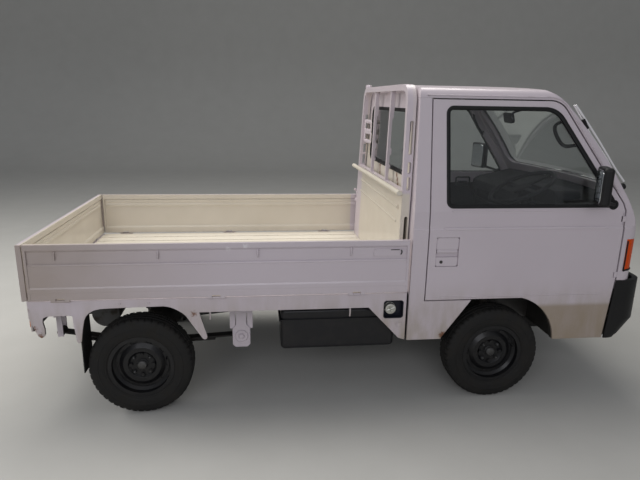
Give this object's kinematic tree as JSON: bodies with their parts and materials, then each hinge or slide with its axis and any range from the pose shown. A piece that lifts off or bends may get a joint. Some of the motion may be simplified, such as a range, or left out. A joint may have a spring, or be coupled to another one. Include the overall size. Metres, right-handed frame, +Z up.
{
  "type": "kei truck",
  "caption": "Small cab-over truck with an open drop-side bed, guard frame, hinged doors and gates, and steered front wheels.",
  "frame": {"origin": "on the ground under the middle of the truck's length and width", "axes": "+X towards the front, +Y to the left side, +Z up"},
  "size_m": [3.295, 1.6946, 1.712],
  "materials": {
    "body_paint": "worn gloss",
    "black_paint": "gloss",
    "frame_paint": "dull, dusty",
    "clear_glass": "polished",
    "black_plastic": "fine grain",
    "cabin_plastic": "fine grain",
    "seat_cover": "woven",
    "tyre_rubber": "worn",
    "flap_rubber": "dull",
    "lamp_amber": "ribbed lens",
    "lamp_red": "ribbed lens",
    "lamp_clear": "ribbed lens",
    "cap_steel": "dull",
    "cast_grey": "oily",
    "plate_blank": "blank"
  },
  "bodies": {
    "chassis": {"frame_rails": "frame_paint", "frame_cross_members": "frame_paint", "spring_hangers": "body_paint", "bed_floor": "body_paint", "bed_skirts": "body_paint", "guard_frame": "body_paint", "cab_back": "body_paint", "cab_roof": "body_paint", "cab_front": "body_paint", "cab_floor": "body_paint", "windscreen": "clear_glass", "rear_window": "clear_glass", "dashboard": "cabin_plastic", "seats": "seat_cover", "steering_column": "cabin_plastic", "levers": "cabin_plastic", "front_bumper": "black_plastic", "headlamps": "lamp_clear", "corner_lamps": "lamp_amber", "tail_lamps": "lamp_red", "grille": "black_plastic", "wipers": "black_plastic", "number_plates": "plate_blank", "fuel_tank": "black_paint", "fuel_filler": "cap_steel", "battery": "black_plastic", "engine": "cast_grey", "driveline": "cast_grey", "rear_axle": "frame_paint", "leaf_springs": "frame_paint", "exhaust": "cast_grey", "mudflaps": "flap_rubber", "front_suspension": "frame_paint"},
    "right_door": {"door_panel_right": "body_paint", "door_glass_right": "clear_glass", "door_trim_right": "cabin_plastic", "door_mirror_right": "black_plastic"},
    "right_gate": {"gate_right": "body_paint"},
    "right_knuckle": {"knuckle_right": "frame_paint"},
    "front_right_wheel": {"tyre_front_right": "tyre_rubber", "rim_front_right": "black_paint"},
    "rear_right_wheel": {"tyre_rear_right": "tyre_rubber", "rim_rear_right": "black_paint"},
    "left_door": {"door_panel_left": "body_paint", "door_glass_left": "clear_glass", "door_trim_left": "cabin_plastic", "door_mirror_left": "black_plastic"},
    "left_gate": {"gate_left": "body_paint"},
    "left_knuckle": {"knuckle_left": "frame_paint"},
    "front_left_wheel": {"tyre_front_left": "tyre_rubber", "rim_front_left": "black_paint"},
    "rear_left_wheel": {"tyre_rear_left": "tyre_rubber", "rim_rear_left": "black_paint"},
    "rear_gate": {"tail_gate": "body_paint"},
    "steering": {"steering_wheel": "black_plastic"}
  },
  "joints": [
    {"name": "right_door_hinge", "type": "hinge", "parent": "chassis", "child": "right_door", "pos_m": [1.415, -0.69, 0.88], "axis": [0, 0, 1], "range_deg": [0, 68]},
    {"name": "right_gate_hinge", "type": "hinge", "parent": "chassis", "child": "right_gate", "pos_m": [-0.68, -0.691, 0.65], "axis": [1, 0, 0], "range_deg": [0, 165]},
    {"name": "left_door_hinge", "type": "hinge", "parent": "chassis", "child": "left_door", "pos_m": [1.415, 0.69, 0.88], "axis": [0, 0, -1], "range_deg": [0, 68]},
    {"name": "left_gate_hinge", "type": "hinge", "parent": "chassis", "child": "left_gate", "pos_m": [-0.68, 0.691, 0.65], "axis": [-1, 0, 0], "range_deg": [0, 165]},
    {"name": "rear_gate_hinge", "type": "hinge", "parent": "chassis", "child": "rear_gate", "pos_m": [-1.641, 0, 0.65], "axis": [0, -1, 0], "range_deg": [0, 165]},
    {"name": "left_knuckle_steer", "type": "hinge", "parent": "chassis", "child": "left_knuckle", "pos_m": [0.777, 0.49, 0.265], "axis": [0, 0, 1], "range_deg": [-30, 30]},
    {"name": "right_knuckle_steer", "type": "hinge", "parent": "chassis", "child": "right_knuckle", "pos_m": [0.777, -0.49, 0.265], "axis": [0, 0, 1], "range_deg": [-30, 30]},
    {"name": "steering_turn", "type": "hinge", "parent": "chassis", "child": "steering", "pos_m": [1.012, -0.33, 1.15], "axis": [-0.4384, 0, 0.8988], "range_deg": [-540, 540]},
    {"name": "front_right_spin", "type": "hinge", "parent": "right_knuckle", "child": "front_right_wheel", "pos_m": [0.777, -0.6, 0.265], "axis": [0, 1, 0], "continuous": true},
    {"name": "rear_right_spin", "type": "hinge", "parent": "chassis", "child": "rear_right_wheel", "pos_m": [-1.123, -0.6, 0.265], "axis": [0, 1, 0], "continuous": true},
    {"name": "front_left_spin", "type": "hinge", "parent": "left_knuckle", "child": "front_left_wheel", "pos_m": [0.777, 0.6, 0.265], "axis": [0, 1, 0], "continuous": true},
    {"name": "rear_left_spin", "type": "hinge", "parent": "chassis", "child": "rear_left_wheel", "pos_m": [-1.123, 0.6, 0.265], "axis": [0, 1, 0], "continuous": true}
  ],
  "couplings": [
    {"joint": "right_knuckle_steer", "follows": "left_knuckle_steer", "ratio": 1},
    {"joint": "steering_turn", "follows": "left_knuckle_steer", "ratio": 18}
  ]
}
